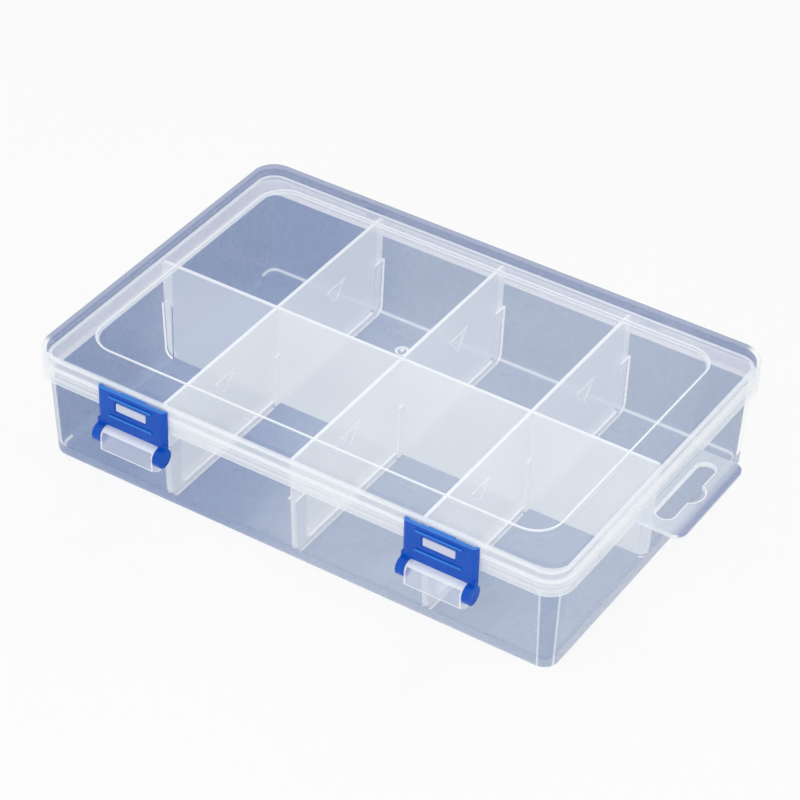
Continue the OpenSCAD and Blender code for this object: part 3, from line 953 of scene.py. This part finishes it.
class FinishDividers(bpy.types.Operator):
    """Gives the dividers their milky plastic."""

    bl_idname = "storage_case.finish_dividers"
    bl_label = "Finish Dividers"

    def execute(self, context):
        looks = context.scene
        milky = divider_plastic(looks.case_sizes, looks.case_plastics)
        for name in ["long_divider"] + DIVIDERS:
            dress(name, milky)
        return {"FINISHED"}


class AddMarks(bpy.types.Operator):
    """Adds the raised triangle on each cross divider."""

    bl_idname = "storage_case.add_marks"
    bl_label = "Add Marks"

    def execute(self, context):
        looks = context.scene
        material = mark_plastic(looks.case_plastics)
        for divider in DIVIDERS:
            side = 1 if "back" in divider else -1
            add_mark(looks.case_sizes, divider.replace("divider", "mark"), divider,
                     side * MARK_MIDDLE[side], MARK_HEIGHT[side], material)
        return {"FINISHED"}


class AddCatches(bpy.types.Operator):
    """Adds the catches on the hem that show in the clasps' windows."""

    bl_idname = "storage_case.add_catches"
    bl_label = "Add Catches"

    def execute(self, context):
        looks = context.scene
        material = catch_plastic(looks.case_plastics)
        for name, side in (("catch_left", -1), ("catch_right", 1)):
            add_catch(looks.case_sizes, name, side, material)
        return {"FINISHED"}


class FinishClasps(bpy.types.Operator):
    """Gives both clasps their blue plastic."""

    bl_idname = "storage_case.finish_clasps"
    bl_label = "Finish Clasps"

    def execute(self, context):
        blue = clasp_plastic(context.scene.case_sizes, context.scene.case_plastics)
        for name in ("clasp_left", "clasp_right"):
            dress(name, blue)
        return {"FINISHED"}


class SetStage(bpy.types.Operator):
    """Adds the floor, the lamps and the camera."""

    bl_idname = "storage_case.set_stage"
    bl_label = "Set Stage"

    def execute(self, context):
        stage = context.scene.case_stage
        add_camera(stage)
        add_floor(stage)
        light_world(stage)
        for lamp in LAMPS:
            add_lamp(*lamp)
        context.scene.cycles.transparent_max_bounces = 48
        context.scene.view_settings.view_transform = "Standard"
        return {"FINISHED"}


class CasePanel(bpy.types.Panel):
    """Lists the steps and the settings."""

    bl_idname = "VIEW3D_PT_storage_case"
    bl_label = "Storage Case"
    bl_space_type = "VIEW_3D"
    bl_region_type = "UI"
    bl_category = "Storage Case"

    def draw(self, context):
        for group in (context.scene.case_sizes, context.scene.case_plastics,
                      context.scene.case_stage):
            box = self.layout.box()
            for name in group.__annotations__:
                box.prop(group, name)
        for step in STEPS:
            self.layout.operator(step.bl_idname)


GROUPS = (CaseSettings, PlasticSettings, StageSettings)
STEPS = (FinishTray, FinishLid, FinishDividers, AddMarks, AddCatches,
         FinishClasps, SetStage)


def register():
    for item in GROUPS + STEPS + (CasePanel,):
        bpy.utils.register_class(item)
    bpy.types.Scene.case_sizes = PointerProperty(type=CaseSettings)
    bpy.types.Scene.case_plastics = PointerProperty(type=PlasticSettings)
    bpy.types.Scene.case_stage = PointerProperty(type=StageSettings)


def unregister():
    for name in ("case_sizes", "case_plastics", "case_stage"):
        delattr(bpy.types.Scene, name)
    for item in reversed(GROUPS + STEPS + (CasePanel,)):
        bpy.utils.unregister_class(item)


def main():
    register()
    bpy.ops.storage_case.finish_tray()
    bpy.ops.storage_case.finish_lid()
    bpy.ops.storage_case.finish_dividers()
    bpy.ops.storage_case.add_marks()
    bpy.ops.storage_case.add_catches()
    bpy.ops.storage_case.finish_clasps()
    bpy.ops.storage_case.set_stage()


if __name__ == "__main__":
    main()
